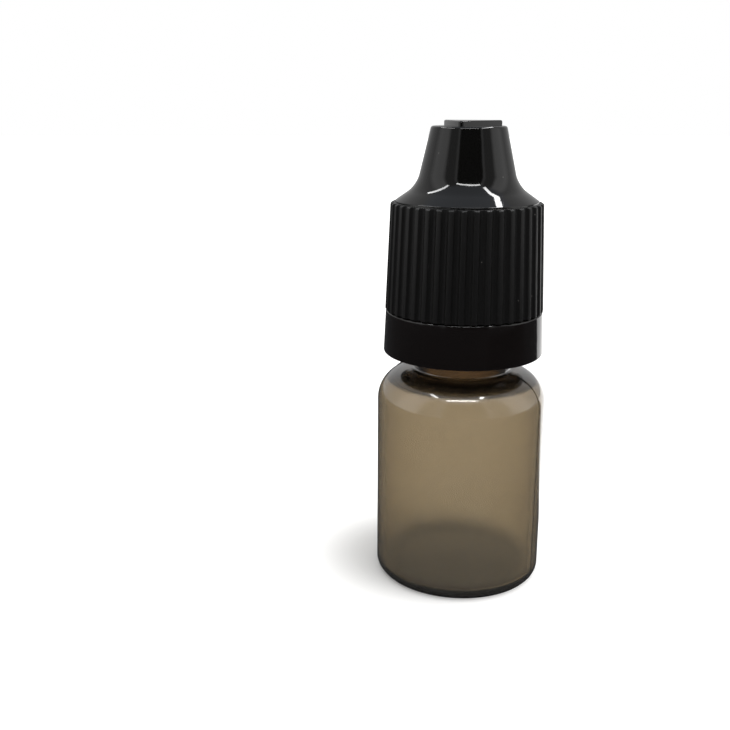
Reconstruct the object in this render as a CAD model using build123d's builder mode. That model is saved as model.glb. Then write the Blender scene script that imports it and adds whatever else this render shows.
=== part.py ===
from build123d import *
from math import cos, radians, sqrt, tan
import os

os.makedirs("parts", exist_ok=True)

# A small squeeze dropper bottle with a push-and-turn closure.
# Millimetres, +Z up. The origin is the centre of the base, on the surface the bottle stands on.
# Every radius is measured from the Z axis.

# Clearances and play between the pieces
thread_gap = 0.20         # between the crest of one thread and the root of the other
flank_gap = 0.12          # between the loaded flanks of the two threads
plug_gap = 0.02           # between the dropper plug and the neck bore
seal_gap = 0.05           # between the plug's flange and the roof of the inner cap
pin_gap = 0.05            # around the sealing pin in the orifice
hood_gap = 0.40           # between the nozzle and the hood around it
hood_room = 1.73          # between the hood and the ceiling of the outer shell
slide_gap = 0.25          # between the outer shell and the inner cap, all round
seat_gap = 0.05           # under the shell's drive fins
shell_gap = 0.10          # between the shell's lower edge and the tamper band
band_seat_gap = 0.10      # between the band's flange and the neck bead under it
snap_gap = 0.30           # between the band's snap lip and the bead over it
bead_side_gap = 0.45      # between the bead's edge and the inside of the band
bridge_gap = 0.02         # over the broken ends of the bridges

# Bottle body
body_radius = 10.5
body_wall = 0.8
foot_corner = 1.3
foot_ring_width = 0.9     # the flat ring that touches the table
push_up = 0.9             # height of the dome in the middle of the base
wall_top = 23.0           # where the straight wall turns into the shoulder
shoulder_corner = 3.9

# Bottle neck
neck_radius = 5.85
neck_wall = 1.25
neck_length = 12.9
neck_fillet = 0.45
bead_reach = 2.35         # how far the tamper bead stands out of the neck
bead_height = 1.6
bead_chamfer = 0.7

# Thread, right-handed, with one start
thread_lead = 2.1
thread_depth = 0.6
ridge_root = 0.9          # width of the thread ridge where it leaves the wall
ridge_crest = 0.4
thread_run_in = 0.3       # plain neck between the bead and the thread
neck_turns = 2.3
cap_turns = 1.4
cap_run_in = 0.15         # plain wall between the inner cap's rim and its thread
root_sink = 0.15          # how deep ridges, lugs, fins and the boss are rooted in their walls

# Dropper tip
plug_depth = 4.5
plug_wall = 0.75
plug_relief = 0.10        # the plug is this much slimmer between its two sealing rings
plug_ring = 0.8           # height of a sealing ring
tip_flange_radius = 5.5
tip_flange = 0.7
nozzle_length = 12.0
nozzle_base_radius = 2.6
nozzle_tip_radius = 1.2
nozzle_wall = 0.8
orifice_radius = 0.4
orifice_length = 1.5
lip_fillet = 0.3

# Tamper band
band_stand_off = 2.34     # from the shoulder up to the lower edge of the band
band_height = 5.26
band_inset = 0.08         # the band's upper edge is this much inside the rib crests
band_flare = 0.24         # the band is this much wider at its lower edge
band_edge = 0.18          # rounding of the band's lower edge
band_rim_edge = 0.2       # rounding of its upper edge
band_flange = 1.0
band_flange_reach = 0.4   # how far the flange reaches inside the inner cap's rim
snap_lip = 0.8
snap_reach = 0.35         # how far the snap lip reaches under the bead
bridge_height = 0.35
bridge_width = 0.5
bridge_count = 8

# Inner cap
cap_wall = 0.95
cap_rim_reach = 0.5       # the ring that holds the outer shell on
cap_rim_height = 0.8
roof = 1.2
hood_wall = 0.9
lug_count = 8
lug_height = 0.9
lug_width = 1.9
lug_inset = 0.3           # from the lug's outer end to the edge of the roof
pin_reach = 0.65          # how far the sealing pin enters the orifice

# Outer shell
shell_wall = 1.29         # over the rib crests, at the lower edge
shell_wall_top = 1.1      # over the bell and the cone
shell_play = 1.1          # how far the shell lifts before its bead meets the inner cap
shell_bead_height = 0.6
skirt_height = 12.85
skirt_taper = 0.54        # how much the rib crests draw in towards the top
skirt_edge = 0.25
bell_step = 0.58          # from the rib crests in to the foot of the bell
bell_step_height = 0.24
bell_angle = 55.0         # of the flare, from the vertical
bell_blend = 3.4          # radius between the flare and the cone
cone_angle = 13.0         # of the cone, from the vertical
cone_top_radius = 4.42
cone_edge = 0.3
rib_count = 40
rib_groove_radius = 0.45
rib_groove_depth = 0.40
rib_turn = 5.7            # angle of the first groove
fin_count = lug_count
fin_width = 0.8
boss_side = 7.55          # three-sided boss that marks the top for a fingertip
boss_height = 0.62
boss_corner = 0.4
boss_turn = 10.0
boss_edge = 0.2

# Levels and radii that follow from the sizes above
shoulder_top = wall_top + shoulder_corner
neck_top = shoulder_top + neck_length
neck_bore = neck_radius - neck_wall
bead_radius = neck_radius + bead_reach
thread_radius = neck_radius + thread_depth

band_bottom = shoulder_top + band_stand_off
band_top = band_bottom + band_height
bead_top = band_top - band_flange - band_seat_gap
bead_bottom = bead_top - bead_height

cap_root_radius = thread_radius + thread_gap
cap_radius = cap_root_radius + cap_wall
cap_rim_radius = cap_radius + cap_rim_reach
cap_bottom = band_top + bridge_height
tip_flange_top = neck_top + tip_flange
roof_bottom = tip_flange_top + seal_gap
roof_top = roof_bottom + roof
nozzle_top = tip_flange_top + nozzle_length
hood_ceiling = nozzle_top + seal_gap
hood_top = hood_ceiling + hood_wall

shell_bore = cap_rim_radius + slide_gap
shell_neck_bore = cap_radius + slide_gap
skirt_radius = shell_bore + shell_wall
skirt_top_radius = skirt_radius - skirt_taper
shell_bottom = band_top + shell_gap
shell_bead_top = shell_bottom + shell_gap + shell_bead_height
cap_rim_bottom = shell_bead_top + shell_play
cap_rim_top = cap_rim_bottom + cap_rim_height
skirt_top = shell_bottom + skirt_height
bell_foot_radius = skirt_top_radius - bell_step
bell_foot = skirt_top + bell_step_height
cone_top = hood_top + hood_room + shell_wall_top

band_radius = skirt_radius - band_inset
band_bore = bead_radius + bead_side_gap
band_lip_radius = bead_radius - snap_reach
band_flange_bore = cap_root_radius + band_flange_reach

first_ridge = bead_top + thread_run_in + ridge_root / 2
cap_ridge_shift = ridge_root + flank_gap
cap_first_ridge = cap_bottom + cap_run_in + ridge_root / 2
cap_first_turn = (cap_first_ridge - first_ridge + cap_ridge_shift) / thread_lead


def flare_meets_cone(foot_radius, foot_level, top_radius, top_level):
    """Radius and level where the bell's flare, drawn out straight, meets the cone."""
    flare = tan(radians(bell_angle))
    cone = tan(radians(cone_angle))
    level = (foot_radius + foot_level * flare - top_radius - top_level * cone) / (flare - cone)
    return top_radius + (top_level - level) * cone, level


def thread_ridge(wall_radius, outward, first_level, first_turn, turns):
    """A helical ridge on a round wall, rooted a little way into it."""
    side = 1 if outward else -1
    start_radius = wall_radius - side * root_sink
    crest = root_sink + thread_depth
    slope = (ridge_root - ridge_crest) / 2 / thread_depth
    root = ridge_root / 2 + slope * root_sink
    with BuildPart() as ridge:
        with BuildLine():
            path = Helix(
                pitch=thread_lead,
                height=thread_lead * turns,
                radius=start_radius,
                center=(0, 0, first_level),
            )
        with BuildSketch(Plane(origin=path @ 0, x_dir=(1, 0, 0), z_dir=path % 0)):
            with BuildLine():
                Polyline(
                    (0, -root),
                    (side * crest, -ridge_crest / 2),
                    (side * crest, ridge_crest / 2),
                    (0, root),
                    close=True,
                )
            make_face()
        sweep(path=path, is_frenet=True)
    return ridge.part.rotate(Axis.Z, 360 * first_turn)


neck_thread = thread_ridge(neck_radius, True, first_ridge, 0, neck_turns)
cap_thread = thread_ridge(cap_root_radius, False, cap_first_ridge, cap_first_turn, cap_turns)


# Bottle: blow-moulded body and neck in one piece
dome_outer = body_radius - foot_corner - foot_ring_width
dome_radius = (dome_outer**2 + push_up**2) / (2 * push_up)
cavity_radius = body_radius - body_wall
cavity_corner = foot_corner - body_wall / 2
shoulder_inner = body_radius - shoulder_corner
cavity_shoulder = shoulder_corner - body_wall

with BuildPart() as bottle:
    with BuildSketch(Plane.XZ):
        with BuildLine():
            RadiusArc((0, push_up), (dome_outer, 0), dome_radius)
            Line((dome_outer, 0), (body_radius - foot_corner, 0))
            CenterArc((body_radius - foot_corner, foot_corner), foot_corner, -90, 90)
            Line((body_radius, foot_corner), (body_radius, wall_top))
            CenterArc((shoulder_inner, wall_top), shoulder_corner, 0, 90)
            Line((shoulder_inner, shoulder_top), (neck_radius + neck_fillet, shoulder_top))
            CenterArc(
                (neck_radius + neck_fillet, shoulder_top + neck_fillet), neck_fillet, 180, 90
            )
            Polyline(
                (neck_radius, shoulder_top + neck_fillet),
                (neck_radius, bead_bottom),
                (bead_radius, bead_bottom),
                (bead_radius, bead_top - bead_chamfer),
                (bead_radius - bead_chamfer, bead_top),
                (neck_radius, bead_top),
                (neck_radius, neck_top),
                (0, neck_top),
                (0, push_up),
            )
        make_face()
    revolve(axis=Axis.Z)
    add(neck_thread)
    with BuildSketch(Plane.XZ):
        with BuildLine():
            RadiusArc((0, push_up + body_wall), (dome_outer, body_wall), dome_radius)
            Line((dome_outer, body_wall), (cavity_radius - cavity_corner, body_wall))
            CenterArc(
                (cavity_radius - cavity_corner, body_wall + cavity_corner), cavity_corner, -90, 90
            )
            Line((cavity_radius, body_wall + cavity_corner), (cavity_radius, wall_top))
            CenterArc((shoulder_inner, wall_top), cavity_shoulder, 0, 90)
            Polyline(
                (shoulder_inner, wall_top + cavity_shoulder),
                (neck_bore + neck_fillet, wall_top + cavity_shoulder),
                (neck_bore, wall_top + cavity_shoulder + neck_fillet),
                (neck_bore, neck_top),
                (0, neck_top),
                (0, push_up + body_wall),
            )
        make_face()
    revolve(axis=Axis.Z, mode=Mode.SUBTRACT)
bottle.part.label = "bottle"
export_step(bottle.part, "parts/bottle.step")


# Dropper tip: plug, flange and nozzle, pressed into the neck
plug_radius = neck_bore - plug_gap
plug_waist = plug_radius - plug_relief
plug_bottom = neck_top - plug_depth
plug_bore = plug_waist - plug_wall
nozzle_bore = nozzle_base_radius - nozzle_wall

with BuildPart() as dropper_tip:
    with BuildSketch(Plane.XZ):
        with BuildLine():
            Polyline(
                (0, plug_bottom),
                (plug_waist - plug_relief, plug_bottom),
                (plug_radius, plug_bottom + plug_ring / 2),
                (plug_radius, plug_bottom + plug_ring),
                (plug_waist, plug_bottom + plug_ring + plug_relief),
                (plug_waist, neck_top - plug_ring - plug_relief),
                (plug_radius, neck_top - plug_ring),
                (plug_radius, neck_top),
                (tip_flange_radius, neck_top),
                (tip_flange_radius, tip_flange_top),
                (nozzle_base_radius, tip_flange_top),
                (nozzle_tip_radius, nozzle_top),
                (0, nozzle_top),
                close=True,
            )
        make_face()
    revolve(axis=Axis.Z)
    nozzle_lip = dropper_tip.edges().filter_by(GeomType.CIRCLE).group_by(Axis.Z)[-1]
    fillet(nozzle_lip, lip_fillet)
    with BuildSketch(Plane.XZ):
        with BuildLine():
            Polyline(
                (0, plug_bottom),
                (plug_bore, plug_bottom),
                (plug_bore, neck_top - plug_wall),
                (nozzle_bore, tip_flange_top),
                (orifice_radius, nozzle_top - orifice_length),
                (orifice_radius, nozzle_top),
                (0, nozzle_top),
                close=True,
            )
        make_face()
    revolve(axis=Axis.Z, mode=Mode.SUBTRACT)
dropper_tip.part.label = "dropper_tip"
export_step(dropper_tip.part, "parts/dropper_tip.step")


# Tamper band: smooth ring, snap lip under the neck bead, and the broken bridges
with BuildPart() as tamper_band:
    with BuildSketch(Plane.XZ):
        with BuildLine():
            Polyline(
                (band_bore, band_bottom),
                (band_radius + band_flare, band_bottom),
                (band_radius, band_top),
                (band_flange_bore, band_top),
                (band_flange_bore, band_top - band_flange),
                (band_bore, band_top - band_flange),
                (band_bore, bead_bottom - snap_gap),
                (band_lip_radius, bead_bottom - snap_gap),
                (band_lip_radius, bead_bottom - snap_gap - snap_lip / 2),
                (band_bore, bead_bottom - snap_gap - snap_lip),
                close=True,
            )
        make_face()
    revolve(axis=Axis.Z)
    band_foot = tamper_band.edges().filter_by(GeomType.CIRCLE).group_by(Axis.Z)[0]
    fillet(band_foot.sort_by(SortBy.RADIUS)[-1], band_edge)
    band_rim = tamper_band.edges().filter_by(GeomType.CIRCLE).group_by(Axis.Z)[-1]
    fillet(band_rim.sort_by(SortBy.RADIUS)[-1], band_rim_edge)
    with BuildSketch(Plane.XY.offset(band_top)):
        with PolarLocations((band_flange_bore + cap_radius) / 2, bridge_count):
            Rectangle(bridge_width, bridge_width)
    extrude(amount=bridge_height - bridge_gap)
tamper_band.part.label = "tamper_band"
export_step(tamper_band.part, "parts/tamper_band.step")


# Inner cap: threaded skirt, roof with drive lugs, and the hood over the nozzle
hood_base_bore = nozzle_base_radius + hood_gap
hood_top_bore = nozzle_tip_radius + hood_gap
lug_inner = hood_base_bore + hood_wall + lug_inset
lug_outer = cap_radius - lug_inset

with BuildPart() as drive_lug:
    with BuildSketch(Plane.YZ.offset(lug_inner)):
        with BuildLine():
            Polyline(
                (-lug_width / 2, roof_top - root_sink),
                (lug_width / 2, roof_top - root_sink),
                (lug_width / 2, roof_top + lug_height),
                (0, roof_top + lug_height),
                (-lug_width / 2, roof_top),
                close=True,
            )
        make_face()
    extrude(amount=lug_outer - lug_inner)

with BuildPart() as inner_cap:
    with BuildSketch(Plane.XZ):
        with BuildLine():
            Polyline(
                (cap_root_radius, cap_bottom),
                (cap_radius, cap_bottom),
                (cap_radius, cap_rim_bottom),
                (cap_rim_radius, cap_rim_bottom),
                (cap_rim_radius, cap_rim_top - cap_rim_reach / 2),
                (cap_radius, cap_rim_top),
                (cap_radius, roof_top),
                (hood_base_bore + hood_wall, roof_top),
                (hood_top_bore + hood_wall, hood_top),
                (0, hood_top),
                (0, hood_ceiling),
                (hood_top_bore, hood_ceiling),
                (hood_base_bore, roof_bottom),
                (cap_root_radius, roof_bottom),
                close=True,
            )
        make_face()
    revolve(axis=Axis.Z)
    hood_lip = inner_cap.edges().filter_by(GeomType.CIRCLE).group_by(Axis.Z)[-1]
    fillet(hood_lip, lip_fillet)
    with BuildSketch(Plane.XY.offset(hood_ceiling)):
        Circle(orifice_radius - pin_gap)
    extrude(amount=-(seal_gap + pin_reach))
    add(cap_thread)
    with PolarLocations(0, lug_count):
        add(drive_lug.part)
inner_cap.part.label = "inner_cap"
export_step(inner_cap.part, "parts/inner_cap.step")


# Outer shell: ribbed skirt, bell, cone and boss, with drive fins inside
cone_shift = shell_wall_top / cos(radians(cone_angle))
flare_shift = shell_wall_top / cos(radians(bell_angle))
bell_corner = flare_meets_cone(bell_foot_radius, bell_foot, cone_top_radius, cone_top)
inner_foot_radius = bell_foot_radius - flare_shift
inner_top_radius = cone_top_radius - cone_shift
inner_corner = flare_meets_cone(inner_foot_radius, bell_foot, inner_top_radius, cone_top)
ceiling = cone_top - shell_wall_top
ceiling_radius = inner_top_radius + shell_wall_top * tan(radians(cone_angle))
bore_step = cap_rim_top + slide_gap
flare_start = bell_foot - (shell_neck_bore - inner_foot_radius) / tan(radians(bell_angle))
rib_lean = skirt_taper / skirt_height
groove_axis = skirt_radius - rib_groove_depth + rib_groove_radius
fin_bottom = roof_top + seat_gap

with BuildPart() as rib_groove:
    with BuildLine() as groove_line:
        Line(
            (groove_axis + rib_lean * shell_wall, 0, shell_bottom - shell_wall),
            (groove_axis - rib_lean * (bell_foot - shell_bottom), 0, bell_foot),
        )
    with BuildSketch(groove_line.line ^ 0):
        Circle(rib_groove_radius)
    sweep(path=groove_line.line)

with BuildPart() as drive_fin:
    with BuildSketch(Plane.XZ):
        with BuildLine():
            Polyline(
                (inner_corner[0], fin_bottom),
                (shell_neck_bore + root_sink, fin_bottom),
                (shell_neck_bore + root_sink, flare_start),
                (inner_corner[0], inner_corner[1] + root_sink),
                close=True,
            )
        make_face()
    extrude(amount=fin_width / 2, both=True)

with BuildPart() as outer_cap:
    with BuildSketch(Plane.XZ) as shell_section:
        with BuildLine():
            Polyline(
                (0, shell_bottom),
                (skirt_radius, shell_bottom),
                (skirt_top_radius, skirt_top),
                (bell_foot_radius, skirt_top),
                (bell_foot_radius, bell_foot),
                bell_corner,
                (cone_top_radius, cone_top),
                (0, cone_top),
                close=True,
            )
        make_face()
        fillet(shell_section.vertices().sort_by_distance((*bell_corner, 0))[0], bell_blend)
        top_corner = (cone_top_radius, cone_top, 0)
        fillet(shell_section.vertices().sort_by_distance(top_corner)[0], cone_edge)
        skirt_corner = (skirt_top_radius, skirt_top, 0)
        fillet(shell_section.vertices().sort_by_distance(skirt_corner)[0], skirt_edge)
    revolve(axis=Axis.Z)
    with PolarLocations(0, rib_count, start_angle=rib_turn):
        add(rib_groove.part, mode=Mode.SUBTRACT)
    with BuildSketch(Plane.XZ):
        with BuildLine():
            Polyline(
                (0, shell_bottom),
                (shell_bore, shell_bottom),
                (shell_bore, shell_bottom + shell_gap),
                (shell_neck_bore, shell_bead_top - shell_bead_height / 2),
                (shell_neck_bore, shell_bead_top),
                (shell_bore, shell_bead_top),
                (shell_bore, bore_step),
                (shell_neck_bore, bore_step + cap_rim_reach),
                (shell_neck_bore, flare_start),
                inner_corner,
                (ceiling_radius, ceiling),
                (0, ceiling),
                close=True,
            )
        make_face()
    revolve(axis=Axis.Z, mode=Mode.SUBTRACT)
    with PolarLocations(0, fin_count, start_angle=180 / fin_count):
        add(drive_fin.part)
    with BuildSketch(Plane.XY.offset(cone_top - root_sink)) as boss_outline:
        RegularPolygon(boss_side / sqrt(3), 3, rotation=boss_turn)
        fillet(boss_outline.vertices(), boss_corner)
    extrude(amount=root_sink + boss_height)
    fillet(outer_cap.faces().sort_by(Axis.Z)[-1].edges(), boss_edge)
outer_cap.part.label = "outer_cap"
export_step(outer_cap.part, "parts/outer_cap.step")
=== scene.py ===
# %% [markdown]
# # A small dropper bottle with a push-and-turn closure
#
# The bottle is blow moulded in smoky, translucent polyethylene. A black ribbed closure with a
# long cone is screwed onto it, over a smooth tamper ring. The CAD model comes in from model.glb,
# so this lesson starts from that frame: every piece made here sits where the CAD solid sits.
# Blender works in metres and a bottle is measured in millimetres, so one small helper converts.

# %% Load the imported frame
import math

import bmesh
import bpy
from mathutils import Matrix, Vector, noise


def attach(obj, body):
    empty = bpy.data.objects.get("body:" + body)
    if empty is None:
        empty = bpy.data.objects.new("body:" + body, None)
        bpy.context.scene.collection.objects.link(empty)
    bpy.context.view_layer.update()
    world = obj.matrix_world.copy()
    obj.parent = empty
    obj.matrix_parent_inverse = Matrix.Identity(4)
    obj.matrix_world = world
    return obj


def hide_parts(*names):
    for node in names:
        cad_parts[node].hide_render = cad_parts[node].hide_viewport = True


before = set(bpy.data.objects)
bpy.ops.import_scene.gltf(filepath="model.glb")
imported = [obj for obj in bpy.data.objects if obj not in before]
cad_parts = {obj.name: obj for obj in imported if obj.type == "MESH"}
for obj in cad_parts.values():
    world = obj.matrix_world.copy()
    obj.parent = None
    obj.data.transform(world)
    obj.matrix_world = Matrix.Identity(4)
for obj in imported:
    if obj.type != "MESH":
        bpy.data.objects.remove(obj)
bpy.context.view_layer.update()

MM = 0.001
UP = Vector((0, 0, 1))
CENTRE = Vector((0, 0, 0))
print("CAD nodes:", sorted(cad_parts))

# %% [markdown]
# ## The camera
#
# A photograph's camera can be found again from the shapes of the circles on a round object: how
# far each ellipse is open gives the camera's height, and how the widths shrink gives its
# distance. Fitted that way, this camera stands 111 mm in front of the bottle and 59 mm up, looks
# down by 16 degrees, and sees the bottle to the right of the picture's middle.

# %% Camera
PICTURE = 730  # pixels, square
FOCAL_LENGTH = 925  # pixels
PICTURE_SHIFT = (0.65, 0.8)  # pixels
CAMERA_PLACE = (-12.215, -111.4, 59.13)  # mm
CAMERA_DIP = 16.02  # degrees below the horizontal
camera_data = bpy.data.cameras.new("camera")
camera_data.sensor_width = 36.0
camera_data.lens = camera_data.sensor_width * FOCAL_LENGTH / PICTURE
camera_data.clip_start = 0.005
camera_data.shift_x = PICTURE_SHIFT[0] / PICTURE
camera_data.shift_y = PICTURE_SHIFT[1] / PICTURE
camera = bpy.data.objects.new("camera", camera_data)
camera.location = [v * MM for v in CAMERA_PLACE]
camera.rotation_euler = (math.radians(90 - CAMERA_DIP), 0, 0)
bpy.context.scene.collection.objects.link(camera)
bpy.context.scene.camera = camera
bpy.context.scene.view_settings.view_transform = "Standard"
print("camera lens:", round(camera_data.lens, 2), "mm")

# %% [markdown]
# ## Turned shapes
#
# Nearly everything here is round, and was cut on a lathe in the mould maker's shop, so a lathe is
# also the natural tool in Blender. A section is drawn as a chain of corners, the bevel operator
# rounds the corners, and the spin operator turns the chain round the Z axis. Rounding the corners
# of the wire first costs far fewer faces than beveling the finished surface.

# %% Helpers for turned shapes
def draw_section(bm, corners, closed=True):
    """Draw a wire from corners (radius, height, setback of the rounding), all in mm."""
    chain = [bm.verts.new((r * MM, 0, z * MM)) for r, z, _ in corners]
    edges = [bm.edges.new(pair) for pair in zip(chain, chain[1:])]
    if closed:
        edges.append(bm.edges.new((chain[-1], chain[0])))
    for vert, (_, _, setback) in zip(chain, corners):
        if setback:
            bmesh.ops.bevel(
                bm, geom=[vert], offset=setback * MM, offset_type="OFFSET", affect="VERTICES",
                segments=max(3, min(14, round(5 + 3 * setback))), profile=0.5, material=-1,
            )
    return bm.verts[:] + bm.edges[:]


def turn(bm, wire, sweeps):
    """Turn a wire round the Z axis in several sweeps of (degrees, steps), and close the seam."""
    last = wire
    for degrees, steps in sweeps:
        made = bmesh.ops.spin(
            bm, geom=last, cent=CENTRE, axis=UP, angle=math.radians(degrees), steps=steps
        )
        last = made["geom_last"]
    bmesh.ops.remove_doubles(bm, verts=bm.verts, dist=0.002 * MM)


def finish_piece(name, bm, body, stands_for, sharp=35):
    """Point the faces outwards, smooth them up to an angle, and hand the piece to its CAD body."""
    bmesh.ops.recalc_face_normals(bm, faces=bm.faces)
    for face in bm.faces:
        face.smooth = True
    for edge in bm.edges:
        edge.smooth = edge.calc_face_angle(0) < math.radians(sharp)
    mesh = bpy.data.meshes.new(name)
    bm.to_mesh(mesh)
    bm.free()
    piece = bpy.data.objects.new(name, mesh)
    bpy.context.scene.collection.objects.link(piece)
    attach(piece, body)
    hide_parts(stands_for)
    size = [round(side / MM, 2) for side in piece.dimensions]
    print(name, len(mesh.polygons), "faces, size in mm", size)
    return piece


# %% [markdown]
# ## The bottle
#
# The real bottle is a tube of molten polyethylene blown out against a split mould. Three things
# give that away: the wall is a little uneven inside, the base is pushed up so that only a ring
# touches the table, and a fine ridge runs up both sides where the mould halves met. The section
# is drawn with its inside too, because light goes through this wall and needs both surfaces. The
# spin starts at one parting line, so that a column of vertices lies on each of them.

# %% Bottle: section and spin
PARTING_LINE = -32  # degrees round from +X, with the other one opposite
bottle_section = [
    (0, 0.9, 0), (4.15, 0.9, 4.0), (8.3, 0, 0.15), (9.2, 0, 0), (10.5, 0, 1.3),
    (10.5, 26.9, 3.9), (5.85, 26.9, 0.45), (5.85, 31.8, 0.1), (8.2, 31.8, 0.2),
    (8.2, 32.7, 0.15), (7.5, 33.4, 0.15), (5.85, 33.4, 0.1), (5.85, 39.8, 0.1),
    (4.6, 39.8, 0.1), (4.6, 26.1, 0.45), (9.7, 26.1, 3.1), (9.7, 0.8, 0.9),
    (8.3, 0.8, 0.1), (4.15, 1.7, 4.0), (0, 1.7, 0),
]
bottle_mesh = bmesh.new()
wire = draw_section(bottle_mesh, bottle_section, closed=False)
bmesh.ops.rotate(
    bottle_mesh, verts=bottle_mesh.verts, cent=CENTRE,
    matrix=Matrix.Rotation(math.radians(PARTING_LINE), 3, "Z"),
)
half_turn = [(0.5, 1), (179, 143), (0.5, 1)]
turn(bottle_mesh, wire, half_turn + half_turn)
print("bottle section:", len(wire), "elements turned")

# %% [markdown]
# The parting ridge is one column of vertices pulled out by a tenth of a millimetre on the
# shoulder, and by a third of that on the straight wall. The uneven inside comes from a smooth
# noise that moves the inner vertices only, so that the outside keeps its true size.

# %% Bottle: parting ridges and the uneven inside
SHOULDER_CENTRE = (6.6, 23.0)  # radius and height, in mm
SHOULDER_WALL = 3.5  # from that centre to the middle of the wall
RIDGE_HEIGHT = 0.10
RIDGE_ENDS = (0.4, 31)  # the ridge runs between these heights
LUMP_HEIGHT, LUMP_LENGTH = 0.03, 4.5
LUMPY_WALL = (2.5, 25.0)  # and the lumps lie between these
ridge_vertices = 0
for vert in bottle_mesh.verts:
    r = math.hypot(vert.co.x, vert.co.y) / MM
    z = vert.co.z / MM
    around = math.degrees(math.atan2(vert.co.y, vert.co.x)) - PARTING_LINE
    on_ridge = min(abs((around + 90) % 180 - 90), 90) < 0.1
    # On the shoulder the outside is told from the inside by the distance from the corner's centre
    from_corner = math.hypot(r - SHOULDER_CENTRE[0], z - SHOULDER_CENTRE[1])
    on_shoulder = r > SHOULDER_CENTRE[0] and z > SHOULDER_CENTRE[1]
    outside = from_corner > SHOULDER_WALL if on_shoulder else r > 9.8 or (z > 26.5 and r > 5.8)
    if on_ridge and outside and RIDGE_ENDS[0] < z < RIDGE_ENDS[1]:
        out = Vector((vert.co.x, vert.co.y, 0)).normalized()
        if on_shoulder:
            out = (out * (r - SHOULDER_CENTRE[0]) + UP * (z - SHOULDER_CENTRE[1])).normalized()
        vert.co += out * (RIDGE_HEIGHT if on_shoulder else RIDGE_HEIGHT / 3) * MM
        ridge_vertices += 1
    elif not outside and LUMPY_WALL[0] < z < LUMPY_WALL[1]:
        spot = Vector((vert.co.x, vert.co.y, vert.co.z * 0.6)) / (LUMP_LENGTH * MM)
        lump = LUMP_HEIGHT * noise.noise(spot)
        vert.co.x *= 1 + lump / r
        vert.co.y *= 1 + lump / r
print("vertices on the parting ridges:", ridge_vertices)

# %% [markdown]
# The thread is one ridge that climbs as it goes round: the spin operator does this when it is
# also given a step along the axis. Its root is sunk a little into the neck.

# %% Bottle: thread on the neck
THREAD_LEAD, THREAD_TURNS, THREAD_STEPS = 2.1, 2.3, 110
THREAD_START = 34.15  # height of its lower end
thread_section = [(5.8, -0.45), (6.45, -0.2), (6.45, 0.2), (5.8, 0.45)]  # radius and height
thread_corners = [
    bottle_mesh.verts.new((r * MM, 0, (THREAD_START + z) * MM)) for r, z in thread_section
]
bmesh.ops.spin(
    bottle_mesh, geom=[bottle_mesh.faces.new(thread_corners)], cent=CENTRE, axis=UP,
    angle=math.radians(THREAD_TURNS * 360), steps=THREAD_STEPS,
    dvec=UP * (THREAD_LEAD * THREAD_TURNS / THREAD_STEPS * MM),
)
bottle_body = finish_piece("bottle_body", bottle_mesh, "bottle", "bottle")

# %% [markdown]
# ## The tamper ring
#
# A smooth band under the ribs that stays on the neck when the closure is first opened. Inside it
# has a lip that snapped over the neck's bead, and on top of its flange stand the stumps of the
# little bridges that used to hold it to the cap. The band is turned, and one stump is made as a
# cube and copied round with the spin operator's duplicate option.

# %% Tamper ring
band_section = [
    (8.65, 29.24, 0.08), (9.80, 29.24, 0.18), (9.56, 34.5, 0.2), (7.05, 34.5, 0.05),
    (7.05, 33.5, 0.05), (8.65, 33.5, 0), (8.65, 31.5, 0), (7.85, 31.5, 0.05),
    (7.85, 31.1, 0.05), (8.65, 30.7, 0),
]
band_mesh = bmesh.new()
turn(band_mesh, draw_section(band_mesh, band_section), [(360, 288)])
print("tamper ring:", len(band_mesh.faces), "faces turned")

# %% Tamper ring: stumps of the bridges
def copy_round(bm, corners, count):
    """Copy a loose block round the Z axis until there are this many."""
    faces = list({face for vert in corners for face in vert.link_faces})
    bmesh.ops.spin(
        bm, geom=corners + faces, cent=CENTRE, axis=UP, angle=math.radians(360 - 360 / count),
        steps=count - 1, use_duplicate=True,
    )


BRIDGES = 8
STUMP_SIZE, STUMP_PLACE = (0.5, 0.5, 0.38), (7.325, 0, 34.64)
stump = bmesh.ops.create_cube(band_mesh, size=1.0)["verts"]
bmesh.ops.scale(band_mesh, vec=[v * MM for v in STUMP_SIZE], verts=stump)
bmesh.ops.translate(band_mesh, vec=[v * MM for v in STUMP_PLACE], verts=stump)
copy_round(band_mesh, stump, BRIDGES)
tamper_ring = finish_piece(
    "tamper_ring", band_mesh, "tamper_band", "tamper_band"
)

# %% [markdown]
# ## The outer shell
#
# The shell is the part that the hand turns: forty grip ribs, a small step, a bell that flares in
# to a long cone, and a three-sided mark raised on its flat top. Only one rib is modelled. The
# section is turned through nine degrees in narrow columns that are close together where the
# groove bends, and the groove is pressed into those columns. The spin operator then copies that
# slice forty times.

# %% Outer shell: one slice of the turned section
RIBS = 40
FIRST_GROOVE = 5.7  # degrees round from +X
SKIRT_BOTTOM, SKIRT_TOP = 34.6, 47.45
CREST_BOTTOM, CREST_TOP = 9.64, 9.10  # radius over the ribs
RIBBED = 8.53  # everything further out than this takes the grooves
shell_section = [
    (0, 56.28, 0), (4.42, 56.28, 0.26), (5.995, 49.458, 1.305), (8.52, 47.69, 0.06),
    (8.52, 47.45, 0.04), (9.10, 47.45, 0.24), (9.64, 34.6, 0.07), (8.35, 34.6, 0.05),
    (8.35, 34.7, 0), (7.85, 35.0, 0), (7.85, 35.3, 0), (8.35, 35.3, 0), (8.35, 37.45, 0),
    (7.85, 37.95, 0), (7.85, 46.80, 0.1), (5.02, 48.80, 0.3), (3.55, 55.18, 0.2), (0, 55.18, 0),
]
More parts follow.
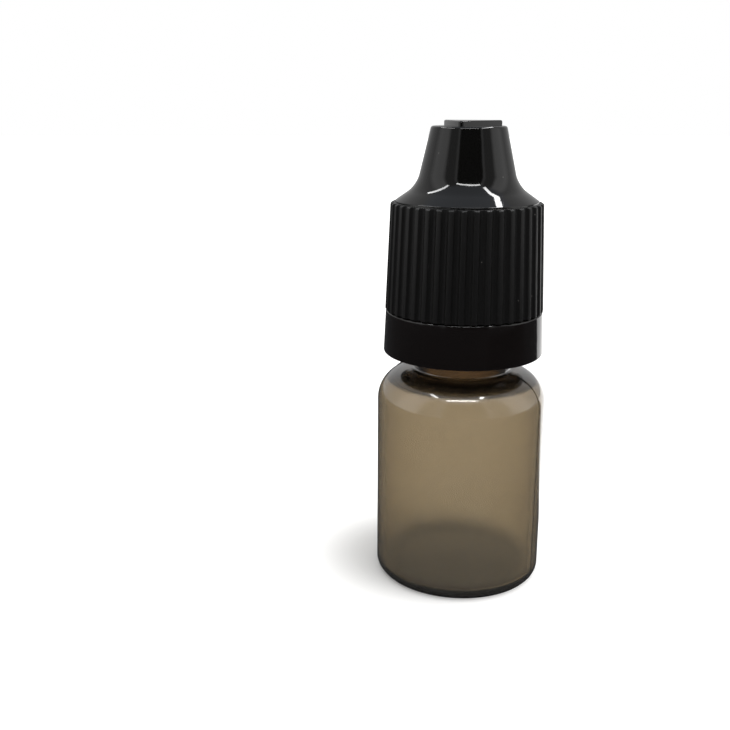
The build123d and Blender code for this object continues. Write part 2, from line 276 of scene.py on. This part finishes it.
# How deep the groove is (second number) at a distance from its middle (first number), in mm
groove = [(0.53, 0), (0.49, 0.012), (0.46, 0.04), (0.435, 0.09), (0.40, 0.16), (0.33, 0.255),
          (0.22, 0.343), (0.10, 0.389), (0, 0.40)]
shell_mesh = bmesh.new()
wire = draw_section(shell_mesh, shell_section, closed=False)
bmesh.ops.rotate(
    shell_mesh, verts=shell_mesh.verts, cent=CENTRE,
    matrix=Matrix.Rotation(math.radians(FIRST_GROOVE - 180 / RIBS), 3, "Z"),
)
half = [math.degrees(offset / CREST_BOTTOM) for offset, _ in groove]
columns = [-180 / RIBS] + [-angle for angle in half] + half[-2::-1] + [180 / RIBS]
turn(shell_mesh, wire, [(b - a, 1) for a, b in zip(columns, columns[1:])])
print("columns in one rib:", len(columns) - 1)

# %% Outer shell: press the groove in, and copy the slice all round
def groove_depth(offset):
    """Depth of the rib groove at a distance from its middle, read along the groove's section."""
    offset = abs(offset)
    for (a, deep_a), (b, deep_b) in zip(groove, groove[1:]):
        if b <= offset <= a:
            return deep_b + (deep_a - deep_b) * (offset - b) / (a - b)
    return 0.0


for vert in shell_mesh.verts:
    r = math.hypot(vert.co.x, vert.co.y) / MM
    z = vert.co.z / MM
    if r < RIBBED or z > SKIRT_TOP + 0.01:
        continue
    share_up = (z - SKIRT_BOTTOM) / (SKIRT_TOP - SKIRT_BOTTOM)
    crest = CREST_BOTTOM + (CREST_TOP - CREST_BOTTOM) * share_up
    around = math.atan2(vert.co.y, vert.co.x) - math.radians(FIRST_GROOVE)
    floor_radius = crest - groove_depth(around * CREST_BOTTOM)
    if r > floor_radius:
        vert.co.x *= floor_radius / r
        vert.co.y *= floor_radius / r
bmesh.ops.spin(
    shell_mesh, geom=shell_mesh.verts[:] + shell_mesh.edges[:] + shell_mesh.faces[:], cent=CENTRE,
    axis=UP, angle=math.radians(360 - 360 / RIBS), steps=RIBS - 1, use_duplicate=True,
)
bmesh.ops.remove_doubles(shell_mesh, verts=shell_mesh.verts, dist=0.002 * MM)
print("outer shell:", len(shell_mesh.faces), "faces after", RIBS, "ribs")

# %% [markdown]
# The three-sided mark is a circle of three segments: its corners are rounded first, then it is
# raised, and its upper edge gets a small bevel, as a mould cutter leaves it. The fins that turn
# the inner cap are thin cubes inside the shell.

# %% Outer shell: three-sided mark
MARK_SIDE, MARK_CORNER = 7.55, 0.69
MARK_ROOT, MARK_RISE, MARK_EDGE = 56.18, 0.72, 0.2
MARK_TURN = 10  # degrees from +X to one of its corners
mark = bmesh.ops.create_circle(
    shell_mesh, segments=3, radius=MARK_SIDE / math.sqrt(3) * MM, cap_ends=True,
    matrix=Matrix.Translation((0, 0, MARK_ROOT * MM)) @ Matrix.Rotation(math.radians(10), 4, "Z"),
)["verts"]
tip = max(mark, key=lambda v: v.co.x)
bmesh.ops.rotate(
    shell_mesh, verts=mark, cent=CENTRE,
    matrix=Matrix.Rotation(math.radians(MARK_TURN) - math.atan2(tip.co.y, tip.co.x), 3, "Z"),
)
bmesh.ops.bevel(
    shell_mesh, geom=mark, offset=MARK_CORNER * MM, offset_type="OFFSET", affect="VERTICES",
    segments=6, profile=0.5, material=-1, clamp_overlap=True,
)
mark_face = max(
    (f for f in shell_mesh.faces if abs(f.calc_center_median().z - MARK_ROOT * MM) < 1e-6),
    key=lambda f: f.calc_area(),
)
raised = bmesh.ops.extrude_face_region(shell_mesh, geom=[mark_face], use_keep_orig=True)["geom"]
raised_verts = [e for e in raised if isinstance(e, bmesh.types.BMVert)]
bmesh.ops.translate(shell_mesh, vec=(0, 0, MARK_RISE * MM), verts=raised_verts)
bmesh.ops.bevel(
    shell_mesh, geom=[e for e in raised if isinstance(e, bmesh.types.BMEdge)],
    offset=MARK_EDGE * MM, offset_type="OFFSET", affect="EDGES", segments=4, profile=0.5,
    material=-1, clamp_overlap=True,
)
print("mark stands up to", round(MARK_ROOT + MARK_RISE, 2), "mm")

# %% Outer shell: drive fins
FINS = 8
FIN_SIZE, FIN_PLACE, FIN_TURN = (2.2, 0.8, 5.4), (6.85, 0, 44.5), 22.5
fin = bmesh.ops.create_cube(shell_mesh, size=1.0)["verts"]
bmesh.ops.scale(shell_mesh, vec=[v * MM for v in FIN_SIZE], verts=fin)
bmesh.ops.translate(shell_mesh, vec=[v * MM for v in FIN_PLACE], verts=fin)
bmesh.ops.rotate(
    shell_mesh, verts=fin, cent=CENTRE, matrix=Matrix.Rotation(math.radians(FIN_TURN), 3, "Z")
)
copy_round(shell_mesh, fin, FINS)
outer_shell = finish_piece(
    "outer_shell", shell_mesh, "outer_cap", "outer_cap"
)

# %% [markdown]
# ## Materials: shared effects
#
# Small faults make plastic look real. Three effects are used by more than one material, so each
# is a node group with plain outputs that any material can mix into its colour, roughness or bump:
# the soft ripple of moulded plastic, fine handling scuffs, and dust.

# %% Helpers for nodes
def new_group(name, inputs, outputs):
    """Make a shader node group with value inputs (name, default) and value outputs."""
    group = bpy.data.node_groups.new(name, "ShaderNodeTree")
    for label, value in inputs:
        socket = group.interface.new_socket(label, in_out="INPUT", socket_type="NodeSocketFloat")
        socket.default_value = value
    for label in outputs:
        group.interface.new_socket(label, in_out="OUTPUT", socket_type="NodeSocketFloat")
    return group, group.nodes.new("NodeGroupInput"), group.nodes.new("NodeGroupOutput")


def add(tree, kind, settings=None, **values):
    """Add a node, set its properties, and fill its inputs by name with a value or a link."""
    node = tree.nodes.new(kind)
    for key, value in (settings or {}).items():
        setattr(node, key, value)
    for key, value in values.items():
        label = key.replace("_", " ")
        socket = next(s for s in node.inputs if s.name == label and s.enabled)
        if isinstance(value, bpy.types.NodeSocket):
            tree.links.new(value, socket)
        else:
            socket.default_value = value
    return node


def maths(tree, operation, a, b=0.0, clamp=False):
    """A Math node on two numbers or links."""
    node = tree.nodes.new("ShaderNodeMath")
    node.operation = operation
    node.use_clamp = clamp
    for socket, value in zip(node.inputs, (a, b)):
        if isinstance(value, bpy.types.NodeSocket):
            tree.links.new(value, socket)
        else:
            socket.default_value = value
    return node.outputs[0]


def remap(tree, value, low, high, to_low=0.0, to_high=1.0, smooth=True):
    """A Map Range node from low..high to to_low..to_high."""
    node = add(
        tree, "ShaderNodeMapRange",
        {"interpolation_type": "SMOOTHSTEP" if smooth else "LINEAR", "clamp": True},
        Value=value, From_Min=low, From_Max=high, To_Min=to_low, To_Max=to_high,
    )
    return node.outputs["Result"]


# %% Shared effect: moulding ripple
ripple, group_in, group_out = new_group("moulding_ripple", [("Size", 900.0)], ["Height"])
place = add(ripple, "ShaderNodeTexCoord")
soft = add(ripple, "ShaderNodeTexNoise", Vector=place.outputs["Object"],
           Scale=group_in.outputs["Size"], Detail=2.0, Roughness=0.45)
five_times = maths(ripple, "MULTIPLY", group_in.outputs["Size"], 5.0)
fine = add(ripple, "ShaderNodeTexNoise", Vector=place.outputs["Object"], Scale=five_times,
           Detail=1.0, Roughness=0.5)
fine_height = maths(ripple, "MULTIPLY", fine.outputs["Fac"], 0.12)
height = maths(ripple, "ADD", soft.outputs["Fac"], fine_height)
ripple.links.new(height, group_out.inputs["Height"])

# %% Shared effect: handling scuffs
scuffs, group_in, group_out = new_group("handling_scuffs", [("Amount", 0.5)], ["Mask", "Lines"])
place = add(scuffs, "ShaderNodeTexCoord")
lines = None
scuff_runs = [  # how a run of scuffs is turned, and how far it is stretched
    ((0.2, 0.5, 0.3), (5200, 700, 700)),
    ((1.1, -0.4, 2.0), (4600, 600, 600)),
]
for turn_by, stretch in scuff_runs:
    mapped = add(scuffs, "ShaderNodeMapping", Vector=place.outputs["Object"], Rotation=turn_by,
                 Scale=stretch)
    streak = add(scuffs, "ShaderNodeTexNoise", Vector=mapped.outputs["Vector"], Scale=1.0,
                 Detail=2.0, Roughness=0.6)
    line = remap(scuffs, streak.outputs["Fac"], 0.66, 0.74)
    lines = line if lines is None else maths(scuffs, "MAXIMUM", lines, line)
where = add(scuffs, "ShaderNodeTexNoise", Vector=place.outputs["Object"], Scale=260.0, Detail=3.0)
patch = remap(scuffs, where.outputs["Fac"], 0.45, 0.7)
lines_in_patch = maths(scuffs, "MULTIPLY", lines, patch)
for effect, output in ((lines_in_patch, "Lines"), (patch, "Mask")):
    shown = maths(scuffs, "MULTIPLY", effect, group_in.outputs["Amount"], clamp=True)
    scuffs.links.new(shown, group_out.inputs[output])

# %% Shared effect: dust
dust, group_in, group_out = new_group("dust_specks", [("Amount", 0.5), ("Size", 1100.0)], ["Mask"])
place = add(dust, "ShaderNodeTexCoord")
cells = add(dust, "ShaderNodeTexVoronoi", {"feature": "F1"}, Vector=place.outputs["Object"],
            Scale=group_in.outputs["Size"], Randomness=1.0)
speck = remap(dust, cells.outputs["Distance"], 0.10, 0.05)
chance = add(dust, "ShaderNodeSeparateColor", Color=cells.outputs["Color"]).outputs[0]
chosen = maths(dust, "MULTIPLY", speck, remap(dust, chance, 0.9, 0.92))
dust.links.new(
    maths(dust, "MULTIPLY", chosen, group_in.outputs["Amount"], clamp=True),
    group_out.inputs["Mask"],
)
print("shared effects:", [g.name for g in bpy.data.node_groups])

# %% [markdown]
# ## Black plastic for the closure
#
# Carbon-black polypropylene is nearly as dark as plastic gets, so what we see is mostly what it
# reflects. The cone left a polished part of the mould and mirrors the studio softly. The ribs left
# a part that was blasted dull. One material does both: its roughness changes with the height on
# the piece, which is the same as masking by the mould's own parting.

# %% Black plastics
SCUFF_GREY, DUST_GREY = (0.12, 0.12, 0.12, 1), (0.20, 0.19, 0.18, 1)
RIPPLE_DEPTH = 0.010 * MM


def blend(tree, mask, a, b):
    """A colour that goes from a to b as the mask goes from 0 to 1."""
    return add(tree, "ShaderNodeMix", {"data_type": "RGBA"}, Factor=mask, A=a, B=b).outputs[2]


def black_plastic(name, tint, polish, satin=None, satin_below=0.0, specks=0.6):
    """Moulded black plastic: polished, or satin below a height in mm."""
    material = bpy.data.materials.new(name)
    material.use_nodes = True
    tree = material.node_tree
    shader = tree.nodes["Principled BSDF"]
    shader.inputs["IOR"].default_value = 1.49
    place = add(tree, "ShaderNodeTexCoord")
    wave = add(tree, "ShaderNodeGroup", {"node_tree": ripple}, Size=700.0)
    wear = add(tree, "ShaderNodeGroup", {"node_tree": scuffs}, Amount=0.5)
    dirt = add(tree, "ShaderNodeGroup", {"node_tree": dust}, Amount=specks)
    cloud = add(tree, "ShaderNodeTexNoise", Vector=place.outputs["Object"], Scale=420.0, Detail=3.0)
    colour = blend(tree, cloud.outputs["Fac"], [c * 0.75 for c in tint] + [1], [*tint, 1])
    colour = blend(tree, maths(tree, "MULTIPLY", wear.outputs["Lines"], 0.12), colour, SCUFF_GREY)
    colour = blend(tree, dirt.outputs["Mask"], colour, DUST_GREY)
    tree.links.new(colour, shader.inputs["Base Color"])
    rough = maths(tree, "ADD", polish, maths(tree, "MULTIPLY", cloud.outputs["Fac"], 0.03))
    if satin is not None:
        height = add(tree, "ShaderNodeSeparateXYZ", Vector=place.outputs["Object"]).outputs["Z"]
        blasted = remap(tree, height, (satin_below + 0.1) * MM, (satin_below - 0.1) * MM)
        rough = maths(tree, "ADD", rough, maths(tree, "MULTIPLY", blasted, satin - polish))
    handled = maths(tree, "MULTIPLY", wear.outputs["Mask"], 0.06)
    rough = maths(tree, "ADD", rough, handled, clamp=True)
    tree.links.new(rough, shader.inputs["Roughness"])
    cuts = maths(tree, "MULTIPLY", wear.outputs["Lines"], 0.2)
    relief = maths(tree, "SUBTRACT", wave.outputs["Height"], cuts)
    lumps = add(tree, "ShaderNodeBump", Strength=1.0, Distance=RIPPLE_DEPTH, Height=relief)
    tree.links.new(lumps.outputs["Normal"], shader.inputs["Normal"])
    return material


shell_plastic = black_plastic(
    "black_shell_plastic", (0.0034, 0.0033, 0.0031), 0.035, satin=0.45, satin_below=47.5
)
ring_plastic = black_plastic("black_ring_plastic", (0.0044, 0.0032, 0.0030), 0.06)
outer_shell.data.materials.append(shell_plastic)
tamper_ring.data.materials.append(ring_plastic)
print("black plastics:", shell_plastic.name, ring_plastic.name)

# %% [markdown]
# The inner cap and the dropper tip are CAD nodes whose shapes are already right, so they keep
# their meshes and only get a finish: the same black plastic, less polished, and a milky natural
# polyethylene.

# %% Inner cap and dropper tip
inner_cap_finish = black_plastic("black_inner_plastic", (0.005, 0.005, 0.005), 0.30, specks=0.2)
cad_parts["inner_cap"].data.materials.clear()
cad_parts["inner_cap"].data.materials.append(inner_cap_finish)

tip_plastic = bpy.data.materials.new("natural_polyethylene")
tip_plastic.use_nodes = True
tree = tip_plastic.node_tree
shader = tree.nodes["Principled BSDF"]
shader.inputs["IOR"].default_value = 1.51
shader.inputs["Subsurface Weight"].default_value = 0.4
shader.inputs["Subsurface Scale"].default_value = 1.5 * MM
shader.inputs["Subsurface Radius"].default_value = (1.0, 0.95, 0.85)
place = add(tree, "ShaderNodeTexCoord")
milk = add(tree, "ShaderNodeTexNoise", Vector=place.outputs["Object"], Scale=300.0, Detail=3.0)
milky = blend(tree, milk.outputs["Fac"], (0.62, 0.61, 0.57, 1), (0.74, 0.73, 0.70, 1))
tree.links.new(milky, shader.inputs["Base Color"])
tree.links.new(remap(tree, milk.outputs["Fac"], 0.3, 0.7, 0.38, 0.48), shader.inputs["Roughness"])
wave = add(tree, "ShaderNodeGroup", {"node_tree": ripple}, Size=800.0)
lumps = add(tree, "ShaderNodeBump", Strength=1.0, Distance=RIPPLE_DEPTH,
            Height=wave.outputs["Height"])
tree.links.new(lumps.outputs["Normal"], shader.inputs["Normal"])
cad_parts["dropper_tip"].data.materials.clear()
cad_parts["dropper_tip"].data.materials.append(tip_plastic)
print("finishes on CAD nodes:", inner_cap_finish.name, tip_plastic.name)

# %% [markdown]
# ## Smoky polyethylene for the bottle
#
# The bottle lets light through but nothing can be seen clearly behind it: every surface scatters.
# A rough transmission does that, under a smooth coat that keeps the outside shiny. The smoke is in
# the plastic and not on it, so most of the colour is a volume absorption, which grows deeper where
# a ray stays longer in the wall. Blow moulding also leaves more plastic in the base, the shoulder
# and the neck than in the walls. The masks below, which read the height and the distance from the
# axis, deepen the surface colour in four places, and most of that is painted shade and reflection:
# painted shade at the foot, darker towards the bottom where it stands; painted shade of the floor
# under the bottle, seen through the thick base; a near-black painted reflection of the black
# closure on the top of the shoulder; and painted shade under the closure on the neck, which is also
# browner for its thicker plastic.

# %% Smoky polyethylene
smoky = bpy.data.materials.new("smoky_polyethylene")
smoky.use_nodes = True
tree = smoky.node_tree
shader = tree.nodes["Principled BSDF"]
shader.inputs["IOR"].default_value = 1.51
shader.inputs["Transmission Weight"].default_value = 0.94
shader.inputs["Coat Weight"].default_value = 1.0
shader.inputs["Coat Roughness"].default_value = 0.03
shader.inputs["Coat IOR"].default_value = 1.5
place = add(tree, "ShaderNodeTexCoord")
thickness = add(tree, "ShaderNodeTexNoise", Vector=place.outputs["Object"], Scale=130.0, Detail=2.0)
colour = blend(tree, thickness.outputs["Fac"], (0.70, 0.655, 0.57, 1), (0.75, 0.71, 0.63, 1))
smoke = add(tree, "ShaderNodeVolumeAbsorption", Color=(0.49, 0.375, 0.14, 1), Density=990.0)
tree.links.new(smoke.outputs["Volume"], tree.nodes["Material Output"].inputs["Volume"])

# %% Smoky polyethylene: painted shade and reflection, and thicker plastic
at = add(tree, "ShaderNodeSeparateXYZ", Vector=place.outputs["Object"]).outputs
squares = maths(tree, "ADD", maths(tree, "POWER", at["X"], 2.0), maths(tree, "POWER", at["Y"], 2.0))
from_axis = maths(tree, "SQRT", squares)
low_down = remap(tree, at["Z"], 2.2 * MM, 1.7 * MM)
well_inside = remap(tree, from_axis, 9.5 * MM, 8.9 * MM)
# Painted shade and a painted reflection in the surface colour, with some real depth of colour from
# thicker plastic at the base and the neck
thick_plastic_and_painted_shade = {  # where it is, and the colour there
    # foot: painted contact shade, darker towards the bottom
    "foot": (remap(tree, at["Z"], 2.6 * MM, 0.6 * MM), (0.30, 0.285, 0.255, 1)),
    # base: painted shade of the floor under the bottle, seen through the thick base
    "base": (maths(tree, "MULTIPLY", low_down, well_inside), (0.055, 0.053, 0.049, 1)),
    # shoulder: near-black painted reflection of the black closure above it
    "shoulder": (remap(tree, at["Z"], 25.55 * MM, 25.85 * MM), (0.05, 0.045, 0.04, 1)),
    # neck: painted shade under the closure, browner also for its thicker plastic
    "neck": (remap(tree, at["Z"], 26.7 * MM, 26.95 * MM), (0.24, 0.175, 0.115, 1)),
}
for where, deeper in thick_plastic_and_painted_shade.values():
    colour = blend(tree, where, colour, deeper)
print("deeper colour in the", ", ".join(thick_plastic_and_painted_shade))

# %% Smoky polyethylene: dust, scuffs and ripple
dirt = add(tree, "ShaderNodeGroup", {"node_tree": dust}, Amount=0.5, Size=500.0)
colour = blend(tree, dirt.outputs["Mask"], colour, (0.8, 0.78, 0.72, 1))
tree.links.new(colour, shader.inputs["Base Color"])
wear = add(tree, "ShaderNodeGroup", {"node_tree": scuffs}, Amount=0.5)
rough = maths(tree, "ADD", 0.17, maths(tree, "MULTIPLY", wear.outputs["Mask"], 0.08))
tree.links.new(rough, shader.inputs["Roughness"])
wave = add(tree, "ShaderNodeGroup", {"node_tree": ripple}, Size=420.0)
lumps = add(tree, "ShaderNodeBump", Strength=1.0, Distance=0.012 * MM,
            Height=wave.outputs["Height"])
tree.links.new(lumps.outputs["Normal"], shader.inputs["Normal"])
bottle_body.data.materials.append(smoky)
print("bottle finish:", smoky.name)

# %% [markdown]
# ## The studio
#
# Black plastic shows the room it stands in, so the room matters as much as the material. Small
# things like this are often set in a white tent. The world colour plays the tent's cloth. For
# glossy rays it has a dark open front with a light hem at each side, dim walls next to it, a
# bright window on the left and on the right, a grey back and a roof. The camera and rays through
# the plastic see plain white. The levels are plain round numbers, the same on both sides, because
# a simple room gives clean reflections that are easy to read.

# %% World: the tent's cloth
world = bpy.data.worlds.new("tent")
bpy.context.scene.world = world
world.use_nodes = True
tree = world.node_tree
tree.nodes.clear()
way = add(tree, "ShaderNodeTexCoord").outputs["Generated"]
parts = add(tree, "ShaderNodeSeparateXYZ", Vector=way)
forward = maths(tree, "MULTIPLY", parts.outputs["Y"], -1.0)
azimuth = maths(tree, "ARCTAN2", parts.outputs["X"], forward)
share = maths(tree, "ADD", maths(tree, "DIVIDE", azimuth, 2 * math.pi), 0.5)
# Degrees from the middle of the open front, the same to both sides, and how bright the cloth is
half_tent = [
    (30, 0.02), (33, 0.5), (36, 0.5), (40, 0.25), (60, 0.25), (70, 1.0), (95, 1.0), (110, 0.5),
    (180, 0.5),
]
cloth = [(-degrees, level) for degrees, level in reversed(half_tent)] + half_tent
ramp = add(tree, "ShaderNodeValToRGB", Fac=share)
while len(ramp.color_ramp.elements) > 1:
    ramp.color_ramp.elements.remove(ramp.color_ramp.elements[0])
for number, (degrees, level) in enumerate(cloth):
    spot = degrees / 360 + 0.5
    if number == 0:
        element = ramp.color_ramp.elements[0]
        element.position = spot
    else:
        element = ramp.color_ramp.elements.new(spot)
    element.color = (level, level, level, 1)
roof = remap(tree, parts.outputs["Z"], 0.74, 0.86)
tent = blend(tree, roof, ramp.outputs["Color"], (0.50, 0.53, 0.58, 1))
print("tent cloth levels:", len(cloth))

# %% World: what each kind of ray sees
rays = add(tree, "ShaderNodeLightPath")
plain = add(tree, "ShaderNodeBackground", Color=(1, 1, 1, 1), Strength=1.0)
glossy = add(tree, "ShaderNodeBackground", Color=tent, Strength=1.0)
ambient = add(tree, "ShaderNodeBackground", Color=(1, 0.995, 0.985, 1), Strength=0.95)
seen = maths(tree, "MAXIMUM", rays.outputs["Is Camera Ray"], rays.outputs["Is Transmission Ray"])
lit = add(tree, "ShaderNodeMixShader", Fac=rays.outputs["Is Glossy Ray"])
tree.links.new(ambient.outputs[0], lit.inputs[1])
tree.links.new(glossy.outputs[0], lit.inputs[2])
shown = add(tree, "ShaderNodeMixShader", Fac=seen)
tree.links.new(lit.outputs[0], shown.inputs[1])
tree.links.new(plain.outputs[0], shown.inputs[2])
output = tree.nodes.new("ShaderNodeOutputWorld")
tree.links.new(shown.outputs[0], output.inputs["Surface"])
print("nodes in the world:", len(tree.nodes))

# %% [markdown]
# The bright lines on the bell and the shoulder, traced back through the reflection, come from
# three narrow lamps above the bottle: one across the front and one along each side. They are area
# lamps that only show in reflections, so that they draw those lines and change nothing else. An
# area lamp shines down when it isn't turned. Its power is spread over its face, so the watts are
# worked out from how bright the face should look. The soft shadow comes from a weak, wide sun on
# the right that has no reflection.

# %% Lamps
LAMP_HEIGHT = 91
STRIPS = {  # place of the middle and size in mm, and how bright the face is
    "front_strip": ((-3, -38), (44, 5), 16),
    "left_strip": ((-34, 0), (4.5, 46), 14),
    "right_strip": ((22.5, -4), (4.5, 46), 20),
}
for name, ((x, y), (width, depth), radiance) in STRIPS.items():
    strip_data = bpy.data.lights.new(name, "AREA")
    strip_data.shape = "RECTANGLE"
    strip_data.size, strip_data.size_y = width * MM, depth * MM
    strip_data.energy = radiance * math.pi * width * depth * MM * MM
    strip = bpy.data.objects.new(name, strip_data)
    strip.location = (x * MM, y * MM, LAMP_HEIGHT * MM)
    strip.visible_camera = strip.visible_diffuse = strip.visible_transmission = False
    bpy.context.scene.collection.objects.link(strip)

SUN_TILT = (8, 34)  # degrees about X and about Y
key_data = bpy.data.lights.new("key", "SUN")
key_data.energy = 0.4
key_data.angle = math.radians(45)
key = bpy.data.objects.new("key", key_data)
key.rotation_euler = (math.radians(SUN_TILT[0]), math.radians(SUN_TILT[1]), 0)
key.visible_glossy = key.visible_transmission = False
bpy.context.scene.collection.objects.link(key)
print("lamps:", [*STRIPS, key.name])

# %% [markdown]
# A photographer lays black card round a dark glossy object, where the camera doesn't see it, so
# that the object keeps its black and its sides don't turn white. These cards lie in front and at
# both sides, with the floor left open behind the bottle, and only show in reflections. Their
# edges run under the bottle, so that no bright gap shows at its foot.

# %% Black cards
CARD_HEIGHT = 0.3
CARDS = {  # lowest and highest corner in mm, and degrees turned about the bottle
    "front": ((-1500, -1500), (1500, -7), 0),
    "left": ((-1500, -7), (-7, 1500), 0),
    "right": ((-7, -400), (1500, 3), 33),
}
card_mesh = bmesh.new()
for low, high, turned in CARDS.values():
    corners = bmesh.ops.create_grid(card_mesh, x_segments=1, y_segments=1, size=0.5)["verts"]
    size = [(b - a) * MM for a, b in zip(low, high)]
    bmesh.ops.scale(card_mesh, vec=(*size, 1), verts=corners)
    middle = [(a + b) / 2 * MM for a, b in zip(low, high)]
    bmesh.ops.translate(card_mesh, vec=(*middle, CARD_HEIGHT * MM), verts=corners)
    bmesh.ops.rotate(
        card_mesh, verts=corners, cent=CENTRE, matrix=Matrix.Rotation(math.radians(turned), 3, "Z")
    )
card_data = bpy.data.meshes.new("black_cards")
card_mesh.to_mesh(card_data)
card_mesh.free()
cards = bpy.data.objects.new("black_cards", card_data)
bpy.context.scene.collection.objects.link(cards)
black_card = bpy.data.materials.new("black_card")
black_card.use_nodes = True
shader = black_card.node_tree.nodes["Principled BSDF"]
shader.inputs["Base Color"].default_value = (0.03, 0.032, 0.036, 1)
shader.inputs["Roughness"].default_value = 1.0
cards.data.materials.append(black_card)
cards.visible_camera = cards.visible_diffuse = False
cards.visible_transmission = cards.visible_shadow = False
print("cards:", list(CARDS))

# %% [markdown]
# ## The floor
#
# The bottle stands on the tent's white cloth. The cloth keeps the soft shadow. Further out it
# gets a little light of its own, but only for rays that come straight from the camera, through
# the plastic or off a glossy face, so that the open floor reaches the white of the background
# and puts no light on the bottle. The mask lies a little to the left, where the shadow falls.

# %% Floor
floor_mesh = bmesh.new()
bmesh.ops.create_grid(floor_mesh, x_segments=1, y_segments=1, size=1.5)
floor_data = bpy.data.meshes.new("floor")
floor_mesh.to_mesh(floor_data)
floor_mesh.free()
floor = bpy.data.objects.new("floor", floor_data)
bpy.context.scene.collection.objects.link(floor)
floor_white = bpy.data.materials.new("white_floor")
floor_white.use_nodes = True
tree = floor_white.node_tree
shader = tree.nodes["Principled BSDF"]
shader.inputs["Base Color"].default_value = (0.90, 0.90, 0.895, 1)
shader.inputs["Roughness"].default_value = 0.9
shader.inputs["Specular IOR Level"].default_value = 0.1
shader.inputs["Emission Color"].default_value = (1, 1, 1, 1)
rays = add(tree, "ShaderNodeLightPath")
seen = maths(tree, "MAXIMUM", rays.outputs["Is Camera Ray"], rays.outputs["Is Transmission Ray"])
seen = maths(tree, "MAXIMUM", seen, rays.outputs["Is Glossy Ray"])
place = add(tree, "ShaderNodeTexCoord")
SHADOW_MIDDLE = (-5, 3)  # mm
SHADOW_REACH = (6, 19)  # the glow is nothing at the first distance and whole at the second, in mm
shift = [-v * MM for v in SHADOW_MIDDLE]
shade = add(tree, "ShaderNodeMapping", Vector=place.outputs["Object"], Location=(*shift, 0))
away = add(tree, "ShaderNodeVectorMath", {"operation": "LENGTH"}, Vector=shade.outputs["Vector"])
open_floor = remap(tree, away.outputs["Value"], SHADOW_REACH[0] * MM, SHADOW_REACH[1] * MM)
glow = maths(tree, "MULTIPLY", maths(tree, "MULTIPLY", seen, open_floor), 0.55)
tree.links.new(glow, shader.inputs["Emission Strength"])
floor.data.materials.append(floor_white)
print("floor side in mm:", round(floor.dimensions.x / MM))
